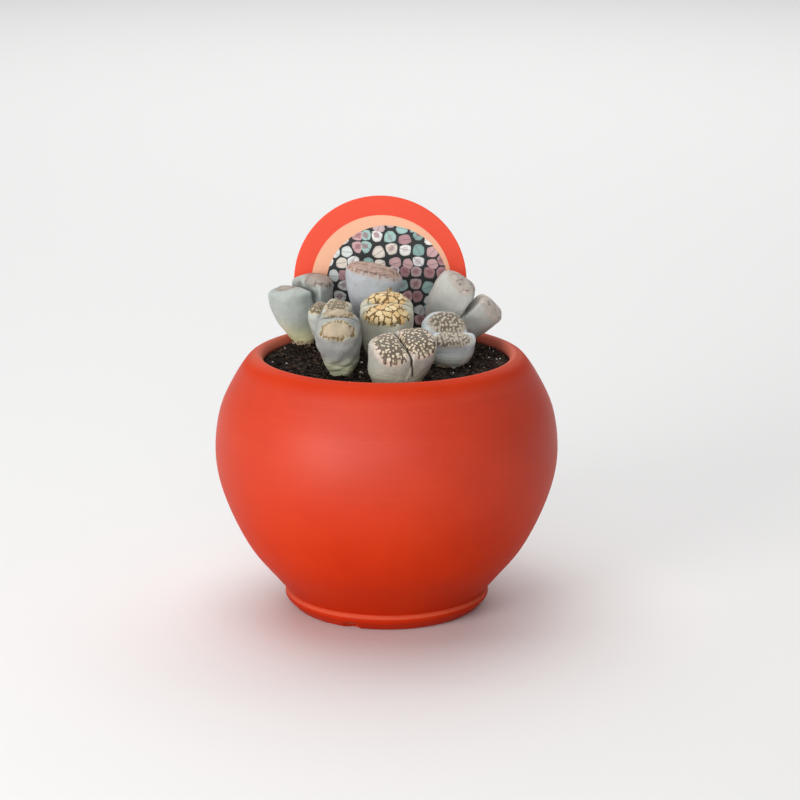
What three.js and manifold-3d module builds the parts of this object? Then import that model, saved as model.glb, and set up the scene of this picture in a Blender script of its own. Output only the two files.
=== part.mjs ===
// A group of living stones (lithops) in a round red clay pot, with a round plant label behind them.
// Millimetres, +Z up. The origin is the centre of the pot's foot, on the surface that it stands on.
import * as THREE from "three";
import { mergeVertices } from "three/addons/utils/BufferGeometryUtils.js";
import Module from "manifold-3d";

const wasm = await Module();
wasm.setup();

const { cos, sin, PI, hypot, abs, sign, min, max } = Math;
const DEGREE = PI / 180;
const GAP = 0.3; // clearance kept between neighbouring pieces

// The pot's outer wall from above the foot to the shoulder, as radius and height.
const POT = {
  segments: 48,
  wallSteps: 8,
  wall: 5,
  outline: [
    [34.2, 6.4],
    [39.4, 12.6],
    [46.9, 22],
    [53, 34],
    [57, 46],
    [58, 57],
    [56.2, 69],
    [50.9, 79],
    [46.6, 86.2],
    [43.6, 88],
  ],
  mouth: { radius: 41.4, height: 85.2 },
  foot: { radius: 31, ledgeRadius: 34.9, ledgeHeight: 4.9, bevel: 1.2 },
  floor: 7,
  floorRadius: 27,
  drain: 5,
};

const SOIL = {
  radius: 40.8,
  level: 84.3,
  slope: 0.02, // it rises towards the back
  lumps: 0.4,
  heap: { at: [-27, 20], height: 1.1, spread: 8 },
  rings: [37, 32, 26.5, 20.5, 14, 7],
};

// slit is the width between a plant's two leaves. flat and square shape a leaf's D-shaped outline, and centre
// is where its dome stands across the leaf.
const LEAF = { segments: 16, rings: 10, slit: 0.5, flat: 0.025, centre: 0.42, square: 0.72 };
const ROOT = { depth: 8, sides: 12, share: 0.8, taper: 0.75, sink: 1.3 };
const HUSK = { segments: 7, rows: 1, thickness: 0.6, ragged: 0.3 };

// Each plant stands at foot and has the middle of its top at crown. lean tilts the crown from level towards
// leanTo, fissure is the way the slit between the two leaves runs, both from +X. cleft is the slit's depth,
// arch the drop of its ends and neck the plant's radius at the soil. The first leaf lies on the right of the
// slit and the second on its left: half is half its length along the slit, thick its size across, shift a
// slide along it, rise a lift, slope how much the outer edge stands up, splay how far it spreads from the
// other leaf. dome and edge are the height and squareness of its top, belly how soon it widens from the neck.
const PLANTS = {
  lithops_left: {
    foot: [-28.6, 22.5], crown: [-29.4, 23.5, 106.2], lean: 4, leanTo: 190, fissure: -50,
    cleft: 12, neck: 3.8, arch: 0.5, color: 0x9aa5a0,
    leaves: [
      { half: 8.3, thick: 10, shift: 0, rise: -1.7, slope: -0.1, splay: 5, dome: 1.6, edge: 3.4, belly: 2.4 },
      { half: 8.2, thick: 9.2, shift: 1.6, rise: 0, slope: 0, splay: 0, dome: 3, edge: 2.1, belly: 2 },
    ],
    husk: { from: -170, to: -30, height: 2.4, out: 1.2 },
  },
  lithops_front_left: {
    foot: [-14.8, -15.5], crown: [-15.7, -21.5, 103.6], lean: 26, leanTo: -90, fissure: 0,
    cleft: 4, neck: 3.8, arch: 2.2, color: 0xa3a69d,
    leaves: [
      { half: 7.4, thick: 8.4, shift: 0, rise: 0, slope: -0.1, splay: 0, dome: 2.6, edge: 2.2, belly: 2.6 },
      { half: 7.2, thick: 4.8, shift: 0, rise: 0, slope: -0.3, splay: 0, dome: 2.4, edge: 2.2, belly: 2.6 },
    ],
  },
  lithops_mid_left: {
    foot: [-17, 1], crown: [-20.7, -4, 103.7], lean: 12, leanTo: -90, fissure: 75,
    cleft: 4, neck: 4.2, arch: 1, color: 0xa8aca6,
    leaves: [
      { half: 6.6, thick: 9, shift: 0, rise: 0.4, slope: 0, splay: 0, dome: 2.2, edge: 2.6, belly: 2 },
      { half: 6, thick: 4.4, shift: -0.6, rise: -0.8, slope: 0, splay: 0, dome: 2, edge: 2.4, belly: 2 },
    ],
  },
  lithops_back: {
    foot: [-1.6, 12.5], crown: [-3.9, 12.5, 112.8], lean: 14, leanTo: -15, fissure: -5,
    cleft: 7, neck: 4.2, arch: 1, color: 0xb5b7bb,
    leaves: [
      { half: 9.9, thick: 7.8, shift: 0, rise: 0, slope: -0.05, splay: 0, dome: 2, edge: 3, belly: 1.1 },
      { half: 9.6, thick: 7, shift: 0, rise: 0, slope: -0.1, splay: 0, dome: 2, edge: 3, belly: 1.1 },
    ],
  },
  lithops_centre: {
    foot: [0, -3], crown: [0.1, -5.5, 104.7], lean: 26, leanTo: -90, fissure: 0,
    cleft: 4, neck: 5.4, arch: 2, color: 0xc0ab80,
    leaves: [
      { half: 9, thick: 8.4, shift: 0, rise: 0, slope: -0.1, splay: 0, dome: 3, edge: 2.3, belly: 2.6 },
      { half: 8.9, thick: 6.6, shift: 0, rise: 0, slope: -0.15, splay: 0, dome: 3, edge: 2.3, belly: 2.6 },
    ],
  },
  lithops_front: {
    foot: [3, -25.5], crown: [5.2, -28, 96], lean: 24, leanTo: -90, fissure: -68,
    cleft: 8, neck: 8.2, arch: 1.2, color: 0xb0aca4,
    leaves: [
      { half: 7.8, thick: 10.2, shift: 0, rise: 1.3, slope: 0, splay: 0, dome: 2.6, edge: 2.4, belly: 2.6 },
      { half: 8.1, thick: 10.8, shift: 0, rise: 0.8, slope: 0, splay: 0, dome: 2.6, edge: 2.4, belly: 2.6 },
    ],
    husk: { from: -60, to: 20, height: 2.2, out: 1.3 },
  },
  lithops_right: {
    foot: [21.2, -3], crown: [21, -3, 94.8], lean: 22, leanTo: -74, fissure: 10,
    cleft: 3.5, neck: 5.2, arch: 0.5, color: 0x8d989c,
    leaves: [
      { half: 7.6, thick: 8, shift: 1.2, rise: 0, slope: 0, splay: 0, dome: 2, edge: 2.3, belly: 3.6 },
      { half: 8, thick: 8.6, shift: -1.2, rise: 0, slope: 0.4, splay: 0, dome: 2.4, edge: 2.4, belly: 3.6 },
    ],
  },
  lithops_back_right: {
    foot: [20.8, 18.5], crown: [30.2, 18.5, 102.4], lean: 44, leanTo: -5, fissure: -90,
    cleft: 10, neck: 4.8, arch: 1, color: 0xb3b0a8,
    leaves: [
      { half: 8, thick: 12.8, shift: 0, rise: -0.7, slope: -0.14, splay: 3, dome: 3.6, edge: 2.6, belly: 2 },
      { half: 7.6, thick: 10.2, shift: 0, rise: 0.4, slope: 0, splay: 3, dome: 3, edge: 2.6, belly: 2.6 },
    ],
  },
};

// The label is a disc whose sides turn in towards a stem below its middle, and end in a point.
const LABEL = {
  radius: 30,
  centre: [-2.3, 33.5, 105.3],
  thickness: 0.8,
  turn: 20, // degrees below the middle where the disc's edge ends
  stem: { halfWidth: 8, top: 30 },
  tip: 44,
  curve: 26,
};

const mix = (a, b, t) => a + (b - a) * t;
const ease = (low, high, t) => {
  const x = min(1, max(0, (t - low) / (high - low)));
  return x * x * (3 - 2 * x);
};

function toSolid(geometry) {
  const bare = geometry.clone();
  for (const name of Object.keys(bare.attributes)) if (name !== "position") bare.deleteAttribute(name);
  const merged = mergeVertices(bare, 1e-4);
  return new wasm.Manifold(
    new wasm.Mesh({
      numProp: 3,
      vertProperties: merged.attributes.position.array,
      triVerts: new Uint32Array(merged.index.array),
    }),
  );
}

function toGeometry(solid) {
  const mesh = solid.getMesh();
  const geometry = new THREE.BufferGeometry();
  geometry.setAttribute("position", new THREE.BufferAttribute(mesh.vertProperties, 3));
  geometry.setIndex(new THREE.BufferAttribute(mesh.triVerts, 1));
  geometry.computeVertexNormals();
  return geometry;
}

const finish = (color, roughness) => new THREE.MeshStandardMaterial({ color, roughness, metalness: 0 });

function named(name, geometry, material) {
  const mesh = new THREE.Mesh(geometry, material);
  mesh.name = name;
  return mesh;
}

// Pot

function outerWall() {
  const points = POT.outline.map(([r, z]) => new THREE.Vector2(r, z));
  return new THREE.SplineCurve(points);
}

// The inner wall runs beside the outer one, one wall's thickness in.
function innerWall() {
  const curve = outerWall();
  return Array.from({ length: POT.wallSteps }, (_, i) => {
    const t = mix(0.1, 0.9, i / (POT.wallSteps - 1));
    const point = curve.getPointAt(t);
    const along = curve.getTangentAt(t);
    return new THREE.Vector2(point.x - along.y * POT.wall, point.y + along.x * POT.wall);
  });
}

// The steps of a quarter of an ellipse that leaves the first point level and meets the second upright.
function quarter(from, to, steps) {
  return Array.from({ length: steps }, (_, i) => {
    const a = ((i + 1) / (steps + 1)) * (PI / 2);
    return new THREE.Vector2(mix(from.x, to.x, sin(a)), mix(from.y, to.y, 1 - cos(a)));
  });
}

function potGeometry() {
  const { foot, mouth, drain, floor, floorRadius, outline } = POT;
  const at = (x, y) => new THREE.Vector2(x, y);
  const top = at(...outline.at(-1));
  const lip = at(mouth.radius, mouth.height);
  const ledge = at(foot.ledgeRadius, foot.ledgeHeight);
  const profile = [
    at(drain, 0),
    at(foot.radius, 0),
    at(foot.radius + foot.bevel, foot.bevel * 0.5),
    at(foot.ledgeRadius - foot.bevel * 0.4, foot.ledgeHeight - foot.bevel * 1.6),
    ledge,
    at(foot.ledgeRadius - foot.bevel * 0.3, foot.ledgeHeight + foot.bevel * 0.7),
    ...outerWall().getSpacedPoints(POT.wallSteps + 3),
    ...quarter(top, lip, 3),
    lip,
    ...innerWall().reverse(),
    at(floorRadius, floor),
    at(drain, floor),
    at(drain, 0),
  ];
  return new THREE.LatheGeometry(profile, POT.segments).rotateX(PI / 2);
}

// Soil

// Lumps everywhere but at the wall and close round each foot, and one low heap.
const soilHeight = (x, y) => {
  const { at, height, spread } = SOIL.heap;
  const heap = height * Math.exp(-((hypot(x - at[0], y - at[1]) / spread) ** 2));
  const lumps = sin(x * 0.9 + 1.3) * cos(y * 0.8 - x * 0.3) + sin(x * 0.37 - y * 0.55 + 2);
  const clear = Object.values(PLANTS).map(({ foot, neck }) =>
    ease(neck + 3, neck + 8, hypot(x - foot[0], y - foot[1])),
  );
  const calm = min(1 - (hypot(x, y) / SOIL.radius) ** 4, ...clear);
  return SOIL.level + SOIL.slope * y + heap + SOIL.lumps * lumps * calm;
};

function soilGeometry() {
  const wall = innerWall().map((p) => new THREE.Vector2(p.x - GAP, p.y));
  const profile = [
    new THREE.Vector2(0, POT.floor + GAP),
    new THREE.Vector2(POT.floorRadius - GAP, POT.floor + GAP),
    ...wall,
    new THREE.Vector2(SOIL.radius, SOIL.level),
    ...SOIL.rings.map((r) => new THREE.Vector2(r, SOIL.level)),
    new THREE.Vector2(0, SOIL.level),
  ];
  const geometry = new THREE.LatheGeometry(profile, POT.segments).rotateX(PI / 2);
  const place = geometry.attributes.position;
  for (let i = 0; i < place.count; i++) {
    if (abs(place.getZ(i) - SOIL.level) > 1e-3) continue;
    place.setZ(i, soilHeight(place.getX(i), place.getY(i)));
  }
  return geometry;
}

// Plants

// The plant's own directions: up out of the crown, along the slit, and across it.
function crownFrame(plant) {
  const lean = plant.lean * DEGREE;
  const to = plant.leanTo * DEGREE;
  const up = new THREE.Vector3(sin(lean) * cos(to), sin(lean) * sin(to), cos(lean));
  const along = new THREE.Vector3(cos(plant.fissure * DEGREE), sin(plant.fissure * DEGREE), 0);
  along.addScaledVector(up, -along.dot(up)).normalize();
  return { up, along, across: up.clone().cross(along) };
}

function footPoint(plant) {
  const [x, y] = plant.foot;
  return new THREE.Vector3(x, y, soilHeight(x, y) - ROOT.sink);
}

// The plant's middle line: straight up from the soil, then bending into the crown's direction.
function spine(plant) {
  const foot = footPoint(plant);
  const crown = new THREE.Vector3(...plant.crown);
  const reach = foot.distanceTo(crown);
  const rise = foot.clone().add(new THREE.Vector3(0, 0, 0.3 * reach));
  const bend = crown.clone().addScaledVector(crownFrame(plant).up, -0.4 * reach);
  return new THREE.CubicBezierCurve3(foot, rise, bend, crown);
}

// One leaf: a sphere whose latitude becomes the height up the plant and then the domed top, and whose
// longitude becomes a D-shaped outline, flat towards the slit.
function leafGeometry(plant, leaf, side) {
  const geometry = new THREE.SphereGeometry(1, LEAF.segments, LEAF.rings).rotateX(PI / 2);
  const frame = crownFrame(plant);
  const line = spine(plant);
  const reach = line.getLength();
  const split = max(0.05, 1 - plant.cleft / reach);
  const neckEnd = (ROOT.sink + 2 * GAP) / reach;
  const place = geometry.attributes.position;
  const p = new THREE.Vector3();
  for (let i = 0; i < place.count; i++) {
    p.fromBufferAttribute(place, i);
    const round = hypot(p.x, p.y);
    const turn = [p.x / (round || 1), p.y / (round || 1)];
    const low = p.z < 0;
    const height = low ? 1 + p.z : 1;
    const wide = 1 - (1 - max(0, height - neckEnd) / (1 - neckEnd)) ** leaf.belly;
    const half = mix(plant.neck, leaf.half, wide);
    const thick = mix(plant.neck, leaf.thick, wide);
    const cap = low ? min(1, round * 4) : round ** (2 / leaf.edge);
    const dome = low ? 0 : leaf.dome * max(0, p.z) ** (2 / leaf.edge);
    const square = (t) => sign(t) * abs(t) ** mix(1, LEAF.square, wide);
    const flat = thick * LEAF.flat;
    const section = square(turn[1]) * (turn[1] > 0 ? thick : flat);
    const middle = low ? 0 : thick * LEAF.centre;
    const outer = max(0, section) / thick;
    const inner = mix(-0.5, LEAF.slit / 2 + flat, mix(ease(split, 1, height), wide, outer));
    const spread = Math.tan(leaf.splay * DEGREE) * reach * max(0, height - split * 0.6);
    const v = middle + (section - middle) * cap + inner + spread;
    const u = square(turn[0]) * half * cap * side + leaf.shift * height;
    const rise = new THREE.Vector3(0, 0, 1).lerp(frame.up, height).normalize();
    const along = frame.along.clone().addScaledVector(rise, -frame.along.dot(rise)).normalize();
    const across = rise.clone().cross(along);
    const tilt = leaf.slope * (v - thick * LEAF.centre) + leaf.rise - plant.arch * (u / leaf.half) ** 2;
    const lift = dome + tilt * height * height;
    p.copy(line.getPoint(height));
    p.addScaledVector(along, u).addScaledVector(across, v * side).addScaledVector(rise, lift);
    place.setXYZ(i, p.x, p.y, p.z);
  }
  return geometry;
}

function rootGeometry(plant, radius, grow) {
  const { x, y, z } = footPoint(plant);
  const top = ROOT.sink + 1;
  const geometry = new THREE.CylinderGeometry(
    radius + grow,
    radius * ROOT.taper + grow,
    ROOT.depth + top + grow,
    ROOT.sides,
  );
  return geometry.rotateX(PI / 2).translate(x, y, z + (top - ROOT.depth - grow) / 2);
}

// The dried rest of older leaves, a ragged collar round a part of the neck.
function huskGeometry({ neck, husk }, foot) {
  const geometry = new THREE.BoxGeometry(1, 1, 1, HUSK.segments, 1, HUSK.rows);
  const place = geometry.attributes.position;
  for (let i = 0; i < place.count; i++) {
    const across = place.getX(i) + 0.5;
    const up = place.getZ(i) + 0.5;
    const angle = mix(husk.to, husk.from, across) * DEGREE;
    const ragged = up * mix(0.5, 1, sin(PI * across)) * (1 - HUSK.ragged * abs(sin(angle * 3)));
    const radius = place.getY(i) < 0 ? neck * ROOT.share : neck + HUSK.thickness + husk.out * ragged;
    const z = foot.z + ROOT.sink + 2 * GAP + husk.height * ragged;
    place.setXYZ(i, foot.x + radius * cos(angle), foot.y + radius * sin(angle), z);
  }
  return geometry;
}

function plantGeometry(plant) {
  const [first, second] = plant.leaves;
  const parts = [
    leafGeometry(plant, first, -1),
    leafGeometry(plant, second, 1),
    rootGeometry(plant, plant.neck * ROOT.share, 0),
  ];
  if (plant.husk) parts.push(huskGeometry(plant, footPoint(plant)));
  return toGeometry(wasm.Manifold.union(parts.map(toSolid)));
}

// Label

function labelShape(grow) {
  const { radius, turn, stem, tip, curve } = LABEL;
  const outline = Array.from({ length: curve + 1 }, (_, i) => {
    const angle = mix(-turn, 180 + turn, i / curve) * DEGREE;
    return new THREE.Vector2(cos(angle), sin(angle)).multiplyScalar(radius + grow);
  });
  outline.push(
    new THREE.Vector2(-stem.halfWidth - grow, -stem.top),
    new THREE.Vector2(0, -tip - grow),
    new THREE.Vector2(stem.halfWidth + grow, -stem.top),
  );
  return new THREE.Shape(outline);
}

function labelGeometry(grow) {
  const thickness = LABEL.thickness + 2 * grow;
  const geometry = new THREE.ExtrudeGeometry(labelShape(grow), { depth: thickness, bevelEnabled: false });
  const [x, y, z] = LABEL.centre;
  return geometry.translate(0, 0, -thickness / 2).rotateX(PI / 2).translate(x, y, z);
}

const potted = new THREE.Group();
potted.add(named("pot", potGeometry(), finish(0xce3016, 0.62)));

let soil = toSolid(soilGeometry());
for (const plant of Object.values(PLANTS)) {
  const radius = (plant.neck + GAP) / cos(PI / ROOT.sides); // its flat sides clear the round neck
  soil = soil.subtract(toSolid(rootGeometry(plant, radius, GAP)));
}
soil = soil.subtract(toSolid(labelGeometry(GAP)));
potted.add(named("soil", toGeometry(soil), finish(0x2a2422, 0.95)));

for (const [name, plant] of Object.entries(PLANTS))
  potted.add(named(name, plantGeometry(plant), finish(plant.color, 0.6)));

potted.add(named("label", labelGeometry(0), finish(0xe8472a, 0.45)));

export default potted;
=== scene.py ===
# Potted lithops: living stones in a round red clay pot, with a round plant label behind them

import math
import random

import bmesh
import bpy
from mathutils import Matrix, Vector, noise


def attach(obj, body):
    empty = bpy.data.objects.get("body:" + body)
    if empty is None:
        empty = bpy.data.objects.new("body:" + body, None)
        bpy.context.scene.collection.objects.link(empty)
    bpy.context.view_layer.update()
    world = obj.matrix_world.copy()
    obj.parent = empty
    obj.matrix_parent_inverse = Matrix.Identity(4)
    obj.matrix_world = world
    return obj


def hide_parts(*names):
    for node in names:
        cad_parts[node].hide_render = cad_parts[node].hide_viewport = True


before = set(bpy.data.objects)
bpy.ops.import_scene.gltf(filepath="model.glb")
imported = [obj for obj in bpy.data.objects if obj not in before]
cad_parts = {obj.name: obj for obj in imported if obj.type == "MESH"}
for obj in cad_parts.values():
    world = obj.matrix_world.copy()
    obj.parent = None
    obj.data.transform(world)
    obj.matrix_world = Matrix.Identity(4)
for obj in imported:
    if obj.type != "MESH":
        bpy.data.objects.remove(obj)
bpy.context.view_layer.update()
mm = 0.001  # the shapes below are worked out in millimetres and scaled once, at the end
print("frame loaded")


# Small helpers

def mix(a, b, t):
    return a + (b - a) * t


def ease(low, high, t):
    x = min(1, max(0, (t - low) / (high - low)))
    return x * x * (3 - 2 * x)


def tint(code):
    # "rrggbb" as the linear colour that a shader wants
    parts = [int(code[i:i + 2], 16) / 255 for i in (0, 2, 4)]
    return [c / 12.92 if c <= 0.04045 else ((c + 0.055) / 1.055) ** 2.4 for c in parts] + [1]


def meshObject(name, bm, material, smooth):
    # a finished bmesh in millimetres becomes an object at the origin
    bmesh.ops.scale(bm, vec=(mm, mm, mm), verts=bm.verts)
    mesh = bpy.data.meshes.new(name)
    bm.to_mesh(mesh)
    bm.free()
    for face in mesh.polygons:
        face.use_smooth = smooth
    mesh.materials.append(material)
    obj = bpy.data.objects.new(name, mesh)
    bpy.context.scene.collection.objects.link(obj)
    return obj


def piece(name, bm, material, replaces=None, smooth=True):
    # a part of the object, which rides on the pot and may stand for a node of the pack
    obj = meshObject(name, bm, material, smooth)
    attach(obj, "root")
    if replaces:
        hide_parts(replaces)
    return obj


def gathered(parts):
    # many small meshes in one
    whole = bmesh.new()
    for part in parts:
        mesh = bpy.data.meshes.new("part")
        part.to_mesh(mesh)
        part.free()
        whole.from_mesh(mesh)
        bpy.data.meshes.remove(mesh)
    return whole


# Shader maths: a Wire is one output socket, and a Paint is a material being put together

class Wire:
    def __init__(self, paint, socket):
        self.paint = paint
        self.socket = socket

    def calc(self, operation, *others):
        return self.paint.calc(operation, self, *others)

    def __add__(self, other):
        return self.calc("ADD", other)

    def __sub__(self, other):
        return self.calc("SUBTRACT", other)

    def __rsub__(self, other):
        return self.paint.calc("SUBTRACT", other, self)

    def __mul__(self, other):
        return self.calc("MULTIPLY", other)

    def __truediv__(self, other):
        return self.calc("DIVIDE", other)

    def __rtruediv__(self, other):
        return self.paint.calc("DIVIDE", other, self)

    def __pow__(self, other):
        return self.calc("POWER", other)

    def __abs__(self):
        return self.calc("ABSOLUTE")

    __radd__ = __add__
    __rmul__ = __mul__

    def higher(self, other):
        return self.calc("MAXIMUM", other)


class Paint:
    def __init__(self, name, **constants):
        self.material = bpy.data.materials.new(name)
        self.material.use_nodes = True
        self.tree = self.material.node_tree
        self.shader = self.tree.nodes["Principled BSDF"]
        for socket, value in constants.items():
            self.shader.inputs[socket.replace("_", " ")].default_value = value
        self.place = self.node("ShaderNodeTexCoord", output="Object")

    def node(self, kind, settings=None, inputs=None, output=0):
        node = self.tree.nodes.new(kind)
        for key, value in (settings or {}).items():
            if key == "stops":
                self.fillRamp(node.color_ramp, value)
            else:
                setattr(node, key, value)
        for key, value in (inputs or {}).items():
            self.plug(node.inputs[key], value)
        return Wire(self, node.outputs[output])

    def fillRamp(self, ramp, stops):
        # each colour holds from its stop to the next
        while len(ramp.elements) < len(stops):
            ramp.elements.new(0.5)
        for element, (position, color) in zip(ramp.elements, stops):
            element.position = position
            element.color = color
        ramp.interpolation = "CONSTANT"

    def plug(self, socket, value):
        if isinstance(value, Wire):
            self.tree.links.new(value.socket, socket)
        else:
            socket.default_value = tint(value) if isinstance(value, str) else value

    def calc(self, operation, *values):
        return self.node("ShaderNodeMath", {"operation": operation}, dict(enumerate(values)))

    def dot(self, vector, direction):
        inputs = {0: vector, 1: direction}
        return self.node("ShaderNodeVectorMath", {"operation": "DOT_PRODUCT"}, inputs, "Value")

    def move(self, vector, by):
        return self.node("ShaderNodeVectorMath", {"operation": "ADD"}, {0: vector, 1: by})

    def stretch(self, vector, by):
        return self.node("ShaderNodeVectorMath", {"operation": "MULTIPLY"}, {0: vector, 1: by})

    def distance(self, vector, spot):
        inputs = {0: vector, 1: spot}
        return self.node("ShaderNodeVectorMath", {"operation": "DISTANCE"}, inputs, "Value")

    def around(self, middle):
        # the place in mm, seen from middle
        return self.stretch(self.move(self.place, -Vector(middle) * mm), (1 / mm, 1 / mm, 1 / mm))

    def split(self, vector):
        return [self.dot(vector, axis) for axis in ((1, 0, 0), (0, 1, 0), (0, 0, 1))]

    def join(self, x, y):
        return self.node("ShaderNodeCombineXYZ", None, {0: x, 1: y})

    def noise(self, vector, scale, detail, roughness):
        inputs = {"Vector": vector, "Scale": scale, "Detail": detail, "Roughness": roughness}
        return self.node("ShaderNodeTexNoise", {"noise_dimensions": "3D"}, inputs, "Fac")

    def cells(self, vector, feature="F1", randomness=1.0, output="Distance"):
        # flat cells, one to a unit of the vector
        settings = {"voronoi_dimensions": "2D", "feature": feature}
        inputs = {"Vector": vector, "Scale": 1.0, "Randomness": randomness}
        return self.node("ShaderNodeTexVoronoi", settings, inputs, output)

    def fade(self, low, high, value):
        # 0 below low, 1 above high
        inputs = {"Value": value, "From Min": low, "From Max": high, "To Min": 0.0, "To Max": 1.0}
        return self.node("ShaderNodeMapRange", {"interpolation_type": "SMOOTHSTEP"}, inputs)

    def blend(self, factor, first, second):
        return self.node("ShaderNodeMix", {"data_type": "RGBA"}, {0: factor, 6: first, 7: second}, 2)

    def bump(self, height, distance, strength):
        inputs = {"Height": height, "Distance": distance, "Strength": strength}
        return self.node("ShaderNodeBump", None, inputs)

    def finish(self, **links):
        for socket, value in links.items():
            self.plug(self.shader.inputs[socket.replace("_", " ")], value)
        return self.material


# Camera, light and floor

shot = {"place": (4.55, -812.3, 281.2), "tilt": 75.5, "lens": 111.6, "sensor": 36, "nearest": 50}
studio = {"sky": (0.95, 0.97, 1, 1), "skyStrength": 0.27,
          "floor": (0.8, 0.795, 0.785, 1), "floorRoughness": 0.7, "floorRadius": 6000}
lamps = {
    # name: place and aim in mm, size in mm, power in W, colour
    "key": ((-650, -770, 290), (0, 0, 70), 460, 6.6, (1.0, 0.99, 0.975)),
    "front": ((-40, -980, 380), (0, 0, 70), 560, 2.6, (0.98, 0.99, 1.0)),
    "top": ((-160, 0, 860), (0, 0, 70), 620, 2.4, (1.0, 1.0, 1.0)),
    "back": ((0, 1500, 1300), (0, 1500, 0), 2200, 27.0, (1.0, 1.0, 1.0)),
}


def setStage():
    cameraData = bpy.data.cameras.new("camera")
    cameraData.lens = shot["lens"]
    cameraData.sensor_width = shot["sensor"]
    cameraData.clip_start = shot["nearest"] * mm
    camera = bpy.data.objects.new("camera", cameraData)
    camera.location = Vector(shot["place"]) * mm
    camera.rotation_euler = (math.radians(shot["tilt"]), 0, 0)
    bpy.context.scene.collection.objects.link(camera)
    bpy.context.scene.camera = camera

    for name, (place, aim, size, power, color) in lamps.items():
        data = bpy.data.lights.new(name, "AREA")
        data.size = size * mm
        data.energy = power
        data.color = color
        lamp = bpy.data.objects.new(name, data)
        lamp.location = Vector(place) * mm
        lamp.rotation_euler = (Vector(aim) - Vector(place)).to_track_quat("-Z", "Y").to_euler()
        bpy.context.scene.collection.objects.link(lamp)

    world = bpy.data.worlds.new("studio")
    world.use_nodes = True
    sky = world.node_tree.nodes["Background"].inputs
    sky["Color"].default_value = studio["sky"]
    sky["Strength"].default_value = studio["skyStrength"]
    bpy.context.scene.world = world
    bpy.context.scene.view_settings.view_transform = "Standard"

    paint = Paint("paleFloor", Base_Color=studio["floor"], Roughness=studio["floorRoughness"])
    bm = bmesh.new()
    bmesh.ops.create_circle(bm, cap_ends=True, segments=96, radius=studio["floorRadius"])
    meshObject("floor", bm, paint.material, False)


setStage()
print("stage set")


# Pot

pot = {
    # the outside from the ledge to the crest, as radius and height in mm, and the rest of the shape
    "outline": [(34.2, 6.4), (39.4, 12.6), (46.9, 22), (53, 34), (57, 46), (58, 57), (56.2, 69),
                (51.6, 79), (46.9, 86), (43.6, 88)],
    "wall": 5, "steps": 46, "turns": 192, "mouth": (41.4, 85.2),
    "footRadius": 31, "bevel": 1.2, "ledge": (34.9, 4.9), "ledgeRound": (1.3, 1.5), "ledgeDrop": 0.6,
    "floor": 7, "floorRadius": 27, "drain": 5, "drainEdge": 0.4,
    # the chip in the foot's edge, and how much it goes up as it goes in
    "chip": (-11.6, -30.2, 0.7), "chipSize": 3, "chipDepth": 2.6, "chipUp": 12,
    # two pits in the clay, as place and size in mm, and the height of the faint groove
    "pits": [(-20.6, -49.7, 73.5, 0.5), (-38.9, -33.3, 30.5, 0.45)], "groove": 80,
    # the clay's colours
    # deep also gives painted shade towards the foot, lip is a paler crest, partly wear and partly
    # painted highlight on the foot's ledge
    # painted sheen, inside is painted light on the mouth's inner wall, and the colour after it is a
    "mid": "c73510", "pale": "d54e22", "deep": "b42707", "lip": "c26754", "inside": "d9816c",
    "ledgeHighlight": "e46a4c", "broken": "e07d5a", "speck": "7a2416",
    # how fine its lines, clouds, grain and specks are, per metre, how deep the bump is, in metres, and
    # the heights in mm between which handling has smoothed it
    "lines": (10, 10, 1000), "clouds": 38, "grain": 1500, "specks": 120.0, "bump": 0.00012,
    "polish": (28.0, 74.0, 82.0, 87.0), "polished": 0.85,
}


def outerWall(t):
    # a smooth curve through the outline's points, of the same kind as the solid's, and the way it runs
    points = [Vector(p) for p in pot["outline"]]
    at = t * (len(points) - 1)
    i = min(int(at), len(points) - 2)
    a, b, c, d = (points[min(max(k, 0), len(points) - 1)] for k in (i - 1, i, i + 1, i + 2))
    u = at - i
    m0, m1 = (c - a) / 2, (d - b) / 2
    place = (2 * b - 2 * c + m0 + m1) * u ** 3 + (3 * c - 3 * b - 2 * m0 - m1) * u ** 2 + m0 * u + b
    way = (2 * b - 2 * c + m0 + m1) * 3 * u ** 2 + (3 * c - 3 * b - 2 * m0 - m1) * 2 * u + m0
    return place, way.normalized()


def innerWall(t):
    place, way = outerWall(t)
    return Vector((place.x - way.y * pot["wall"], place.y + way.x * pot["wall"]))


def spun(profile, turns):
    # a closed outline in the XZ plane, turned once round Z
    bm = bmesh.new()
    verts = [bm.verts.new((x, 0, z)) for x, z in profile]
    edges = [bm.edges.new(pair) for pair in zip(verts, verts[1:])]
    bmesh.ops.spin(bm, geom=verts + edges, cent=(0, 0, 0), axis=(0, 0, 1), angle=math.tau,
                   steps=turns, use_merge=True)
    bmesh.ops.remove_doubles(bm, verts=bm.verts, dist=1e-4)
    bmesh.ops.recalc_face_normals(bm, faces=bm.faces)
    return bm


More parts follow.
